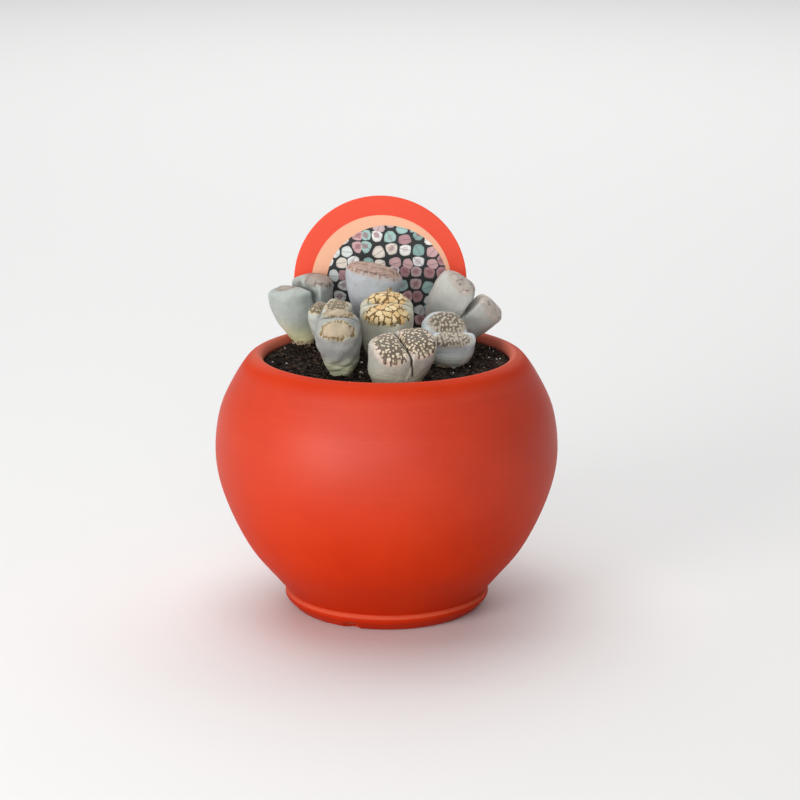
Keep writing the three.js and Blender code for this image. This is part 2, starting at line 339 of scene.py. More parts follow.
def potPaint():
    paint = Paint("redClay", Specular_IOR_Level=0.06, Coat_Roughness=0.55)
    here = paint.around((0, 0, 0))
    x, y, z = paint.split(here)
    lines = paint.noise(paint.stretch(paint.place, pot["lines"]), 1.0, 4, 0.65)  # throwing lines
    groove = z - pot["groove"] + (paint.noise(paint.place, 14, 2, 0.5) - 0.5) * 3.0
    groove = 1 - paint.fade(0.2, 0.9, abs(groove))
    cloud = paint.noise(paint.place, pot["clouds"], 3, 0.55)
    grain = paint.noise(paint.place, pot["grain"], 3, 0.7)
    # darker clouds at random, and painted shade: the clay deepens in colour towards the foot
    cloudAndShade = paint.fade(0.25, 0.75, cloud) * 0.45 + paint.fade(6.0, 46.0, z) * 0.55
    color = paint.blend(cloudAndShade, pot["deep"], pot["mid"])
    paler = paint.fade(0.5, 0.75, lines) * (paint.fade(40.0, 76.0, z) * 0.1 + 0.06)
    color = paint.blend(paler, color, pot["pale"])
    ledgeShine = z + (cloud - 0.5) * 0.5  # the foot's ledge painted paler along its top: a painted highlight
    ledgeShine = paint.fade(4.5, 5.2, ledgeShine) * (1 - paint.fade(5.5, 6.1, ledgeShine))
    color = paint.blend(ledgeShine * 0.6, color, pot["ledgeHighlight"])
    # painted light: the mouth's inner wall below the crest made paler, standing in for light falling
    # into it
    inside = (1 - paint.fade(42.2, 44.2, (x ** 2.0 + y ** 2.0) ** 0.5)) * paint.fade(80.0, 83.0, z)
    color = paint.blend(inside * 0.7, color, pot["inside"])
    # a paler, duller crest, partly wear and partly a painted sheen, stronger away from the front
    crest = paint.fade(85.2, 87.8, z) * (paint.fade(-36.0, 4.0, y) * 0.6)
    color = paint.blend(crest, color, pot["lip"])
    inputs = {"Vector": paint.place, "Scale": pot["specks"]}
    specks = paint.node("ShaderNodeTexVoronoi", None, inputs, "Distance")
    dark = 1 - paint.fade(0.03, 0.06, specks)
    for pitX, pitY, pitZ, size in pot["pits"]:
        away = paint.distance(here, (pitX, pitY, pitZ)) + (grain - 0.5) * 0.6
        dark = dark.higher(1 - paint.fade(size * 0.6, size, away))
    color = paint.blend(dark * 0.35, color, pot["speck"])
    away = paint.distance(here, pot["chip"]) + (grain - 0.5) * 0.6
    broken = 1 - paint.fade(pot["chipSize"] * 0.45, pot["chipSize"] * 0.75, away)
    color = paint.blend(broken * 0.5, color, pot["broken"])
    height = lines * 0.7 + grain * 0.3 + cloud * 0.3 - dark * 0.6 - groove * 0.6
    rough = paint.fade(0.2, 0.9, grain) * 0.2 + paint.fade(0.3, 0.7, cloud) * 0.06 + 0.4
    low, full, last, top = pot["polish"]
    polish = paint.fade(low, full, z) * (1 - paint.fade(last, top, z)) * pot["polished"]
    return paint.finish(Base_Color=color, Roughness=rough, Coat_Weight=polish,
                        Normal=paint.bump(height, pot["bump"], 0.8))


def makePot():
    lip, top = Vector(pot["mouth"]), Vector(pot["outline"][-1])
    foot, bevel, drain, edge = (pot[key] for key in ("footRadius", "bevel", "drain", "drainEdge"))
    profile = [(drain, edge), (drain + edge, 0), (foot - 0.6, 0), (foot, 0.12),
               (foot + bevel * 0.55, bevel * 0.28), (foot + bevel, bevel * 0.6)]
    (ledgeR, ledgeZ), (roundR, roundZ) = pot["ledge"], pot["ledgeRound"]
    middleR, middleZ = ledgeR - roundR, ledgeZ - pot["ledgeDrop"]
    for i in range(9):  # the ledge's rounded edge
        turn = mix(-0.62, 0.9, i / 8) * math.pi / 2
        profile.append((middleR + roundR * math.cos(turn), middleZ + roundZ * math.sin(turn)))
    profile += [tuple(outerWall(i / (pot["steps"] - 1))[0]) for i in range(pot["steps"])]
    for i in range(1, 10):  # over the crest and down into the mouth
        turn = i / 10 * math.pi / 2
        profile.append((mix(top.x, lip.x, math.sin(turn)), mix(top.y, lip.y, 1 - math.cos(turn))))
    profile.append(tuple(lip))
    profile += [tuple(innerWall(mix(0.9, 0.1, i / 19))) for i in range(20)]
    profile += [(pot["floorRadius"], pot["floor"]), (drain + edge, pot["floor"]),
                (drain, pot["floor"] - edge), (drain, edge)]
    bm = spun(profile, pot["turns"])
    chip = Vector(pot["chip"])
    inward = Vector((-chip.x, -chip.y, pot["chipUp"])).normalized()
    near = [v for v in bm.verts if (v.co - chip).length < pot["chipSize"] * 1.4]
    edges = [e for e in bm.edges if all(v in near for v in e.verts)]
    bmesh.ops.subdivide_edges(bm, edges=edges, cuts=2, use_grid_fill=True)
    for vert in bm.verts:
        away = (vert.co - chip).length
        if away < pot["chipSize"]:
            deep = (1 - away / pot["chipSize"]) * (0.8 + 0.7 * noise.noise(vert.co * 1.7))
            vert.co += inward * pot["chipDepth"] * deep
    piece("clay_pot", bm, potPaint(), replaces="pot")


makePot()
print("pot turned")


# Plants: each leaf is a sphere whose latitude becomes the height up the plant and then the domed top,
# and whose longitude becomes a D-shaped outline, flat towards the slit. They stand in the ground, so its
# shape comes first. All sizes are in mm.

ground = {"level": 84.3, "slope": 0.02, "heap": (-27, 20), "heapHeight": 1.1, "heapSpread": 8,
          "lumps": 0.4, "radius": 41.3, "bottom": 7.3, "clearance": 0.3, "rough": 0.42,
          "roughScale": 0.55, "rings": 84, "turns": 260, "quickRings": 30, "quickTurns": 96}
leafForm = {"columns": 80, "rows": 64, "slit": 0.5, "flat": 0.025, "centre": 0.42, "square": 0.72,
            "gap": 0.3, "upright": 0.3, "straight": 0.4, "quickSkin": 0.5, "neckRounds": 10}
plainLeaf = {"shift": 0, "rise": 0, "slope": 0, "splay": 0}
root = {"depth": 8, "share": 0.8, "taper": 0.75, "sink": 1.3}

# for each plant: where it stands and the middle of its crown, the crown's lean and the way it leans, the
# way the slit runs and how deep it is cut, the neck's radius, how much the crown arches along the slit,
# the skin's lumps and the folds at the neck, how often the skin is softened and how fine it is. For each
# leaf: half its width along the slit, its thickness out from it, how far it is shifted along, raised,
# sloped and splayed, its dome's height, how square its edge is and how high its belly sits.

plants = {
    "lithops_left": {
        "foot": (-28.6, 22.5), "crown": (-29.4, 23.5, 106.2), "lean": 4, "leanTo": 190, "fissure": -50,
        "cleft": 12, "neck": 3.8, "arch": 0.5, "lumps": 0.2, "folds": 0.2, "soften": 26, "skin": 0.3,
        "leaves": [
            {"half": 8.3, "thick": 10, "rise": -1.7, "slope": -0.1, "splay": 5,
             "dome": 1.6, "edge": 3.4, "belly": 2.4},
            {"half": 8.2, "thick": 9.2, "shift": 1.6, "dome": 3, "edge": 2.1, "belly": 2},
        ],
    },
    "lithops_front_left": {
        "foot": (-14.8, -15.5), "crown": (-15.7, -21.5, 103.6), "lean": 26, "leanTo": -90, "fissure": 0,
        "cleft": 4, "neck": 3.8, "arch": 2.2, "lumps": 0.55, "folds": 0.3, "soften": 8, "skin": 0.24,
        "leaves": [
            {"half": 7.4, "thick": 8.4, "slope": -0.1, "dome": 2.6, "edge": 2.2, "belly": 2.6},
            {"half": 7.2, "thick": 4.8, "slope": -0.3, "dome": 2.4, "edge": 2.2, "belly": 2.6},
        ],
    },
    "lithops_mid_left": {
        "foot": (-17, 1), "crown": (-20.7, -4, 103.7), "lean": 12, "leanTo": -90, "fissure": 75,
        "cleft": 4, "neck": 4.2, "arch": 1, "lumps": 0.35, "folds": 0.2, "soften": 8, "skin": 0.3,
        "leaves": [
            {"half": 6.6, "thick": 9, "rise": 0.4, "dome": 2.2, "edge": 2.6, "belly": 2},
            {"half": 6, "thick": 4.4, "shift": -0.6, "rise": -0.8, "dome": 2, "edge": 2.4, "belly": 2},
        ],
    },
    "lithops_back": {
        "foot": (-1.6, 12.5), "crown": (-3.9, 12.5, 112.8), "lean": 14, "leanTo": -15, "fissure": -5,
        "cleft": 7, "neck": 4.2, "arch": 1, "lumps": 0.2, "folds": 0.1, "soften": 14, "skin": 0.3,
        "leaves": [
            {"half": 9.9, "thick": 7.8, "slope": -0.05, "dome": 2, "edge": 3, "belly": 1.1},
            {"half": 9.6, "thick": 7, "slope": -0.1, "dome": 2, "edge": 3, "belly": 1.1},
        ],
    },
    "lithops_centre": {
        "foot": (0, -3), "crown": (0.1, -5.5, 104.7), "lean": 26, "leanTo": -90, "fissure": 0,
        "cleft": 4, "neck": 5.4, "arch": 2, "lumps": 0.25, "folds": 0.15, "soften": 8, "skin": 0.26,
        "leaves": [
            {"half": 9, "thick": 8.4, "slope": -0.1, "dome": 3, "edge": 2.3, "belly": 2.6},
            {"half": 8.9, "thick": 6.6, "slope": -0.15, "dome": 3, "edge": 2.3, "belly": 2.6},
        ],
    },
    "lithops_front": {
        "foot": (3, -25.5), "crown": (5.2, -28, 96), "lean": 24, "leanTo": -90, "fissure": -68,
        "cleft": 8, "neck": 8.2, "arch": 1.2, "lumps": 0.2, "folds": 0.1, "soften": 4, "skin": 0.24,
        "leaves": [
            {"half": 7.8, "thick": 10.2, "rise": 1.3, "dome": 2.6, "edge": 2.4, "belly": 2.6},
            {"half": 8.1, "thick": 10.8, "rise": 0.8, "dome": 2.6, "edge": 2.4, "belly": 2.6},
        ],
    },
    "lithops_right": {
        "foot": (21.2, -3), "crown": (21, -3, 94.8), "lean": 22, "leanTo": -74, "fissure": 10,
        "cleft": 3.5, "neck": 5.2, "arch": 0.5, "lumps": 0.2, "folds": 0.15, "soften": 8, "skin": 0.26,
        "leaves": [
            {"half": 7.6, "thick": 8, "shift": 1.2, "dome": 2, "edge": 2.3, "belly": 3.6},
            {"half": 8, "thick": 8.6, "shift": -1.2, "slope": 0.4,
             "dome": 2.4, "edge": 2.4, "belly": 3.6},
        ],
    },
    "lithops_back_right": {
        "foot": (20.8, 18.5), "crown": (30.2, 18.5, 102.4), "lean": 44, "leanTo": -5, "fissure": -90,
        "cleft": 10, "neck": 4.8, "arch": 1, "lumps": 0.25, "folds": 0.15, "soften": 20, "skin": 0.3,
        "leaves": [
            {"half": 8, "thick": 12.8, "rise": -0.7, "slope": -0.14, "splay": 3,
             "dome": 3.6, "edge": 2.6, "belly": 2},
            {"half": 7.6, "thick": 10.2, "rise": 0.4, "splay": 3, "dome": 3, "edge": 2.6, "belly": 2.6},
        ],
    },
}


def soilHeight(x, y):
    heapX, heapY = ground["heap"]
    away = math.hypot(x - heapX, y - heapY) / ground["heapSpread"]
    heap = ground["heapHeight"] * math.exp(-away ** 2)
    lumps = math.sin(x * 0.9 + 1.3) * math.cos(y * 0.8 - x * 0.3) + math.sin(x * 0.37 - y * 0.55 + 2)
    calm = 1 - (math.hypot(x, y) / ground["radius"]) ** 4
    for plant in plants.values():
        away = math.hypot(x - plant["foot"][0], y - plant["foot"][1])
        calm = min(calm, ease(plant["neck"] + 3, plant["neck"] + 8, away))
    return ground["level"] + ground["slope"] * y + heap + ground["lumps"] * lumps * calm


def crownFrame(plant):
    # the plant's own directions: out of the crown, along the slit and across it
    lean, to, slit = (math.radians(plant[key]) for key in ("lean", "leanTo", "fissure"))
    up = Vector((math.sin(lean) * math.cos(to), math.sin(lean) * math.sin(to), math.cos(lean)))
    along = Vector((math.cos(slit), math.sin(slit), 0))
    along = (along - up * along.dot(up)).normalized()
    return up, along, up.cross(along)


def footPoint(plant):
    x, y = plant["foot"]
    return Vector((x, y, soilHeight(x, y) - root["sink"]))


def bend(knots, t):
    # a point of the plant's middle line, which leaves the soil upright and ends along the crown's way up
    s = 1 - t
    return s ** 3 * knots[0] + 3 * s * s * t * knots[1] + 3 * s * t * t * knots[2] + t ** 3 * knots[3]


def leafMesh(plant, leaf, side):
    bm = bmesh.new()
    bmesh.ops.create_uvsphere(bm, u_segments=leafForm["columns"], v_segments=leafForm["rows"], radius=1)
    up, along, across = crownFrame(plant)
    foot, crown = footPoint(plant), Vector(plant["crown"])
    apart = (crown - foot).length
    knots = [foot, foot + Vector((0, 0, leafForm["upright"] * apart)),
             crown - up * leafForm["straight"] * apart, crown]
    line = [bend(knots, i / 60) for i in range(61)]
    reach = sum((b - a).length for a, b in zip(line, line[1:]))
    split = max(0.05, 1 - plant["cleft"] / reach)
    neckEnd = (root["sink"] + 2 * leafForm["gap"]) / reach
    for vert in bm.verts:
        girth = math.hypot(vert.co.x, vert.co.y)
        turn = (vert.co.x / (girth or 1), vert.co.y / (girth or 1))
        low = vert.co.z < 0
        height = max(0, 1 + vert.co.z) if low else 1
        wide = 1 - (1 - max(0, height - neckEnd) / (1 - neckEnd)) ** leaf["belly"]
        half = mix(plant["neck"], leaf["half"], wide)
        thick = mix(plant["neck"], leaf["thick"], wide)
        cap = min(1, girth * 4) if low else girth ** (2 / leaf["edge"])
        dome = 0 if low else leaf["dome"] * max(0, vert.co.z) ** (2 / leaf["edge"])
        power = mix(1, leafForm["square"], wide)
        acrossTurn, alongTurn = (math.copysign(abs(t) ** power, t) for t in (turn[1], turn[0]))
        flat = thick * leafForm["flat"]
        section = acrossTurn * (thick if turn[1] > 0 else flat)
        middle = 0 if low else thick * leafForm["centre"]
        outer = max(0, section) / thick
        inner = mix(-0.5, leafForm["slit"] / 2 + flat, mix(ease(split, 1, height), wide, outer))
        spread = math.tan(math.radians(leaf["splay"])) * reach * max(0, height - split * 0.6)
        v = middle + (section - middle) * cap + inner + spread
        u = alongTurn * half * cap * side + leaf["shift"] * height
        way = Vector((0, 0, 1)).lerp(up, height).normalized()
        uDir = (along - way * along.dot(way)).normalized()
        tilt = (leaf["slope"] * (v - thick * leafForm["centre"]) + leaf["rise"]
                - plant["arch"] * (u / leaf["half"]) ** 2)
        lift = dome + tilt * height * height
        vert.co = bend(knots, height) + uDir * u + way.cross(uDir) * v * side + way * lift
    bmesh.ops.recalc_face_normals(bm, faces=bm.faces)
    return bm


def fused(name, parts, voxel):
    # closed meshes grown together into one skin
    whole = gathered(parts)
    mesh = bpy.data.meshes.new(name)
    whole.to_mesh(mesh)
    whole.free()
    obj = bpy.data.objects.new(name, mesh)
    bpy.context.scene.collection.objects.link(obj)
    remesh = obj.modifiers.new("grown", "REMESH")
    remesh.mode = "VOXEL"
    remesh.voxel_size = voxel
    graph = bpy.context.evaluated_depsgraph_get()
    bm = bmesh.new()
    bm.from_mesh(obj.evaluated_get(graph).to_mesh())
    bpy.data.objects.remove(obj)
    bpy.data.meshes.remove(mesh)
    return bm


def makePlant(name, plant, material):
    foot = footPoint(plant)
    stump = bmesh.new()
    radius, depth = plant["neck"] * root["share"], root["depth"] + root["sink"] + 1
    bmesh.ops.create_cone(stump, cap_ends=True, segments=32, radius1=radius * root["taper"],
                          radius2=radius, depth=depth)
    middle = foot + Vector((0, 0, (root["sink"] + 1 - root["depth"]) / 2))
    bmesh.ops.translate(stump, vec=middle, verts=stump.verts)
    parts = [leafMesh(plant, {**plainLeaf, **leaf}, side)
             for leaf, side in zip(plant["leaves"], (-1, 1))] + [stump]
    bm = fused(name, parts, plant["skin"])
    up = crownFrame(plant)[0]
    crown = Vector(plant["crown"])
    lower = [v for v in bm.verts if (v.co - crown).dot(up) < -plant["cleft"] - 1]
    for verts, rounds in ((lower, leafForm["neckRounds"]), (list(bm.verts), plant["soften"])):
        for _ in range(rounds):
            bmesh.ops.smooth_vert(bm, verts=verts, factor=0.5, use_axis_x=True, use_axis_y=True,
                                  use_axis_z=True)
    bm.normal_update()
    for vert in bm.verts:
        fold = plant["folds"] * (1 - ease(2, 11, vert.co.z - ground["level"]))
        ring = noise.noise(Vector((vert.co.x * 0.2, vert.co.y * 0.2, vert.co.z * 0.62)))
        vert.co += vert.normal * (plant["lumps"] * noise.noise(vert.co * 0.3) + fold * ring)
    return piece(name + "_body", bm, material, replaces=name)


# Skins. windows: where each leaf's patterned window lies, as its middle along the slit, its middle out
# from the slit, half its size both ways in mm, and how square its corners are. cell is the size of the
# islands in it, lineWidth how far the network between them spreads in a cell and reach how deep in the
# window it is widest. dots is the size and pitch of round pale dots on a dark ground, hollow how far the
# network leaves the window's middle clear, slit how dark the line between the leaves is, wavy how far
# the margin wanders and plain how much paler the first leaf's ground stays. scars are dry spots, as
# place and size. The base colour fades out between greenLow and greenTop, in mm above the soil.

# for all skins: each noise as its scale per mm, detail and roughness, and the colours that they share
skinNoise = {"cloud": (0.16, 3, 0.55), "fine": (1.1, 3, 0.6), "wander": (0.62, 3, 0.6),
             "uneven": (0.9, 2, 0.5), "dust": (0.5, 4, 0.65), "freckle": (3.2, 2, 0.6)}
# gap is the dark of the painted shade in the slit between the leaves
skinShared = {"fleck": "dcdbd3", "gap": "2e241d", "scar": "5d4438", "bump": 0.00036}
plainSkin = {"dots": None, "hollow": 0, "plain": 0, "greenLow": 1.0, "scars": []}

skins = {
    "lithops_left": {
        "side": "a2aaa5", "base": "e4e1ab", "mottle": "b5bab4", "rim": "9a928a", "island": "978d84",
        "island2": "a49a90", "line": "74645a", "cell": (2.2, 1.6), "lineWidth": 0.16, "reach": 0.06,
        "hollow": 1, "slit": 0.5, "wavy": 0.4, "greenTop": 13.0,
        "windows": [(-2, 5, 4, 5, 2), (5, 4.2, 5.2, 3.9, 2.2)],
        "scars": [(0.5, -9.2, -16, 0.45)],
    },
    "lithops_front_left": {
        "side": "a0a29d", "base": "ccd1ac", "mottle": "85888a", "rim": "b5af97", "island": "ab9c84",
        "island2": "b7a58c", "line": "7b6742", "cell": (1.2, 2.2), "lineWidth": 0.5, "reach": 0.08,
        "hollow": 1, "slit": 0.5, "wavy": 0.7, "greenLow": 2.0, "greenTop": 8.0,
        "windows": [(-0.1, 6.5, 7.4, 3.4, 1.5), (0, 2.2, 5.2, 2.2, 2)],
        "scars": [(1.6, -8.2, -6, 0.4)],
    },
    "lithops_mid_left": {
        "side": "a8aca6", "base": "a3a98c", "mottle": "bcbfb4", "rim": "c3bba5", "island": "c6bba0",
        "island2": "b8a98c", "line": "67583f", "cell": (1.4, 1.3), "lineWidth": 0.36, "reach": 0.3,
        "dots": (0.26, 1.3), "slit": 0.6, "wavy": 0.35, "greenTop": 8.0,
        "windows": [(-0.6, 4.5, 4.6, 4.0, 2.2), (-1.2, 2.3, 4.2, 2.5, 2.2)],
    },
    "lithops_back": {
        "side": "acb0b4", "base": "a9aba1", "mottle": "babcc1", "rim": "b09c90", "island": "bfa799",
        "island2": "a78c7e", "line": "836456", "cell": (1.2, 1.2), "lineWidth": 0.17, "reach": 0.06,
        "hollow": 0.6, "slit": 0.3, "wavy": 0.36, "greenTop": 10.0,
        "windows": [(-0.8, 1.7, 8.9, 6.2, 2.6), (-0.5, 2, 8.2, 4.6, 2.6)],
        "scars": [(0.6, -7.3, 1.2, 0.75), (-2.7, -7.3, 1.1, 0.7), (3.9, -6, 1.5, 0.7),
                  (2.1, -7, 1.3, 0.6), (-1.1, -7.5, 1.1, 0.55), (5.4, -5, 1.5, 0.55)],
    },
    "lithops_centre": {
        "side": "c8c6b6", "base": "c0bb9a", "mottle": "cdc9b9", "rim": "b1ab8c", "island": "e4ce9f",
        "island2": "d6b27a", "line": "66491f", "cell": (1.9, 1.7), "lineWidth": 0.21, "reach": 0.02,
        "slit": 0.4, "wavy": 0.9, "greenTop": 10.0,
        "windows": [(0, 5.8, 8.8, 4.1, 1.8), (0.2, 2.6, 7.4, 3.0, 2)],
        "scars": [(-3.4, -11.2, -2.2, 0.4)],
    },
    "lithops_front": {
        "side": "aba99f", "base": "aeab95", "mottle": "b8b6b0", "rim": "d0bcac", "island": "dfd4bd",
        "island2": "d2c2a6", "line": "574a3c", "cell": (1.45, 1.4), "lineWidth": 0.42, "reach": 0.12,
        "dots": (0.28, 1.3), "slit": 0.95, "wavy": 0.24, "greenLow": 0.0, "greenTop": 9.0,
        "windows": [(1.6, 4.9, 7.0, 4.7, 2.2), (1.0, 4.9, 7.5, 5.0, 2.2)],
    },
    "lithops_right": {
        "side": "ccd6d8", "base": "ced3c6", "mottle": "d2dadb", "rim": "bfb1a2", "island": "cbc2ad",
        "island2": "beb09c", "line": "6b5f52", "cell": (1.2, 1.5), "lineWidth": 0.4, "reach": 0.2,
        "dots": (0.36, 1.15), "slit": 0.7, "wavy": 0.3, "greenTop": 7.0,
        "plain": 0.85,
        "windows": [(0, 4.8, 6.4, 3.4, 2), (0, 3.9, 6.2, 3.9, 2)],
    },
    "lithops_back_right": {
        "side": "b5b5ae", "base": "adaa9a", "mottle": "c0bfb8", "rim": "b6ada3", "island": "b8aca2",
        "island2": "c2b6ac", "line": "8c7a70", "cell": (2.1, 2.1), "lineWidth": 0.05, "reach": 0.8,
        "slit": 0.7, "wavy": 0.4, "greenTop": 9.0,
        "windows": [(2.4, 7.2, 5.6, 5.2, 2.2), (1, 5.5, 5.8, 5, 2.4)],
        "scars": [(5.8, -8.0, 1.1, 0.55), (6.4, -4.8, 1.2, 0.5), (-1.8, -8.8, 2.3, 0.4),
                  (4.4, 7.2, 1.9, 0.5)],
    },
}


def windowDepth(u, v, w, side, window):
    # 1 in the middle of a leaf's window, 0 at its margin, less outside and where the skin turns down
    middleU, middleV, halfU, halfV, square = window
    far = (abs(u - middleU) / halfU) ** square + (abs(v * side - middleV) / halfV) ** square
    return 1 - far ** (1 / square) - (0.2 - w).higher(0.0) * 0.22


def skinPaint(name, plant, look):
    paint = Paint(name + "Skin", Subsurface_Weight=0.08, Subsurface_Scale=0.0012,
                  Specular_IOR_Level=0.28)
    up, along, across = crownFrame(plant)
    crown = Vector(plant["crown"])
    here = paint.around(crown)
    u, v, w = (paint.dot(here, way) for way in (along, across, up))
    height = paint.dot(here, (0, 0, 1)) + (crown.z - ground["level"])  # above the soil, mm
    cloud, fine, wander = (paint.noise(here, *skinNoise[key]) for key in ("cloud", "fine", "wander"))
    seed = sum(ord(letter) for letter in name) % 37

    depth = windowDepth(u, v, w, -1, look["windows"][0])
    depth = depth.higher(windowDepth(u, v, w, 1, look["windows"][1])) + (wander - 0.5) * look["wavy"]
    cellU, cellV = look["cell"]
    spot = paint.join(u / cellU + seed + (wander - 0.5) * 1.1, v / cellV + (fine - 0.5) * 0.8)
    edge = paint.cells(spot, "DISTANCE_TO_EDGE") - (paint.cells(spot) - 0.5) * 0.4  # rounds the islands
    tone = paint.dot(paint.cells(spot, output="Color"), (0.4, 0.3, 0.3))
    uneven = paint.fade(0.36, 0.6, paint.noise(here, *skinNoise["uneven"]))  # the lines swell and thin
    outward = paint.fade(-0.4, 0.6, (abs(v) - look["windows"][0][1]) / look["windows"][0][3])
    width = look["lineWidth"] * paint.fade(-0.12, look["reach"], depth)
    width = width * (0.15 + uneven * 0.65 + outward * 0.25)
    network = paint.fade(0.0, 0.08, width - edge) * paint.fade(-0.18, -0.04, depth)
    if look["hollow"]:
        network = network * (1 - paint.fade(0.16, 0.34, depth) * look["hollow"])
    island = paint.blend(paint.fade(0.25, 0.75, tone), look["island"], look["island2"])
    if look["dots"]:
        size, pitch = look["dots"]
        grid = paint.join(u / pitch + seed, v / pitch)
        bead = paint.cells(grid, randomness=0.8)
        beadTone = paint.dot(paint.cells(grid, randomness=0.8, output="Color"), (0.4, 0.3, 0.3))
        pale = 1 - paint.fade(-0.06, 0.06, bead - size * (0.45 + beadTone * 1.1) - (fine - 0.5) * 0.2)
        deep = paint.fade(0.14, 0.26, depth + (tone - 0.5) * 0.3)
        dark = deep * (1 - (1 - paint.fade(-0.4, 0.2, v)) * look["plain"])
        network = network.higher(dark) * (1 - pale * deep)

    color = paint.blend(paint.fade(0.35, 0.7, cloud) * 0.6, look["side"], look["mottle"])
    dust = paint.noise(here, *skinNoise["dust"])
    color = paint.blend(paint.fade(0.45, 0.7, dust) * 0.35, color, look["mottle"])
    color = paint.blend(paint.fade(0.5, 0.75, 1 - dust) * 0.22, color, look["line"])
    # the skin's own paler green near the soil, made lighter still as painted light where soil and lip
    # shade it
    base = 1 - paint.fade(look["greenLow"], look["greenTop"], height)
    color = paint.blend(base * 0.95, color, look["base"])
    color = paint.blend(paint.fade(-0.3, 0.1, depth), color, look["rim"])
    color = paint.blend(paint.fade(-0.02, 0.12, depth + (tone - 0.5) * 0.5), color, island)
    color = paint.blend(network * 0.94, color, look["line"])
    freckle = paint.noise(here, *skinNoise["freckle"])
    color = paint.blend(paint.fade(0.62, 0.74, freckle) * 0.4, color, look["line"])
    color = paint.blend(paint.fade(0.6, 0.72, 1 - freckle) * 0.4, color, skinShared["fleck"])
    # painted shade: the slit between the leaves darkened, since the grown skin closes the gap there
    gap = 1 - paint.fade(0.12, 0.5, abs(v) + (fine - 0.5) * 0.2)
    gap = gap * paint.fade(1.0, 2.5, w + plant["cleft"])
    color = paint.blend(gap * look["slit"], color, skinShared["gap"])
    for scarU, scarV, scarW, size in look["scars"]:
        away = paint.distance(here, along * scarU + across * scarV + up * scarW) + (fine - 0.5) * 0.5
        scar = 1 - paint.fade(size * 0.5, size, away)
        color = paint.blend(scar * 0.75, color, skinShared["scar"])

    wrinkle = paint.noise(paint.stretch(here, (0.4, 0.4, 1.5)), 1.0, 2, 0.5)
    wrinkle = wrinkle * (1 - paint.fade(1.0, 9.0, height))
    relief = fine * 0.4 + cloud * 0.5 - network * 0.5 + freckle * 0.2 + wrinkle * 1.6
    rough = 0.48 + paint.fade(0.3, 0.7, fine) * 0.12 - network * 0.1
    return paint.finish(Base_Color=color, Roughness=rough,
                        Normal=paint.bump(relief, skinShared["bump"], 0.8))


slots = {"lithops_left": "leaf_blue_grey", "lithops_back": "leaf_blue_grey",
         "lithops_centre": "leaf_sand", "lithops_front": "leaf_taupe", "lithops_right": "leaf_slate"}
for name, plant in plants.items():
    plant["slot"] = slots.get(name, "leaf_grey")
    grown = makePlant(name, plant, skinPaint(name, plant, {**plainSkin, **skins[name]}))
    print(name, "grown,", len(grown.data.polygons), "faces")


# Soil, and what lies on it

litter = {
    "crumbs": 1700, "crumbSize": (0.3, 1.2), "neckCrumbs": 7, "neckSize": (0.4, 0.85), "thinner": 6,
    "fibres": 150, "fibreLength": (2.5, 7), "fibreSize": (0.08, 0.17),
    "grains": 60, "grainSize": (0.12, 0.3), "whiteSize": (0.28, 0.42),
    # the larger white grains that show from the front, x and y in mm
    "whiteGrains": [(-35, 16.8), (-38.3, -1.2), (-33.6, -2.3), (-24.7, 11.8), (-8.6, -13.5),
                    (-8.3, -1.2), (32.7, 16.8), (34.7, 5.5), (19.4, -15.2), (21.3, -13.7),
                    (22.2, -15.2)],
}


def soilPaint(name, dark, pale, scale):
    paint = Paint(name, Specular_IOR_Level=0.12)
    grain = paint.noise(paint.place, scale, 4, 0.7)
    patch = paint.noise(paint.place, 160, 2, 0.5)
    crumbly = paint.fade(0.47, 0.69, grain) * paint.fade(0.2, 0.7, patch)
    color = paint.blend(crumbly, dark, pale)
    return paint.finish(Base_Color=color, Roughness=0.86 + grain * 0.12,
                        Normal=paint.bump(grain, 0.0005, 0.9))


def grainPaint():
    paint = Paint("perlite", Specular_IOR_Level=0.3)
    pore = paint.noise(paint.place, 2600, 2, 0.6)
    color = paint.blend(paint.fade(0.4, 0.7, pore), "b9b2a6", "efece4")
    return paint.finish(Base_Color=color, Roughness=0.7 + pore * 0.2,
                        Normal=paint.bump(pore, 0.0001, 0.8))


def openGround(rng, margin):
    # a place on the soil, clear of the plants' necks
    while True:
        away, turn = (ground["radius"] - 0.8) * math.sqrt(rng.random()), rng.random() * math.tau
        x, y = away * math.cos(turn), away * math.sin(turn)
        if all(math.hypot(x - plant["foot"][0], y - plant["foot"][1]) > plant["neck"] + margin
               for plant in plants.values()):
            return x, y


def surface(x, y):
    rough = noise.fractal(Vector((x, y, 0)) * ground["roughScale"], 0.9, 2.1, 4)
    return soilHeight(x, y) + ground["rough"] * rough


def lump(rng, x, y, size, sink, rounds):
    # a stone or crumb: a ball pushed out of shape, turned any way and partly sunk
    bm = bmesh.new()
    bmesh.ops.create_icosphere(bm, subdivisions=rounds, radius=size)
    offset = Vector((rng.random(), rng.random(), rng.random())) * 50
    flat = Matrix.Diagonal((rng.uniform(0.8, 1.3), rng.uniform(0.7, 1.1), rng.uniform(0.5, 0.9), 1))
    turn = Matrix.Rotation(rng.random() * math.tau, 4, "Z") @ Matrix.Rotation(rng.random() * 0.8, 4, "X")
    for vert in bm.verts:
        vert.co *= 1 + 0.55 * noise.noise(vert.co / size * 0.9 + offset)
    bmesh.ops.transform(bm, matrix=turn @ flat, verts=bm.verts)
    bmesh.ops.translate(bm, vec=(x, y, surface(x, y) + size * sink), verts=bm.verts)
    return bm


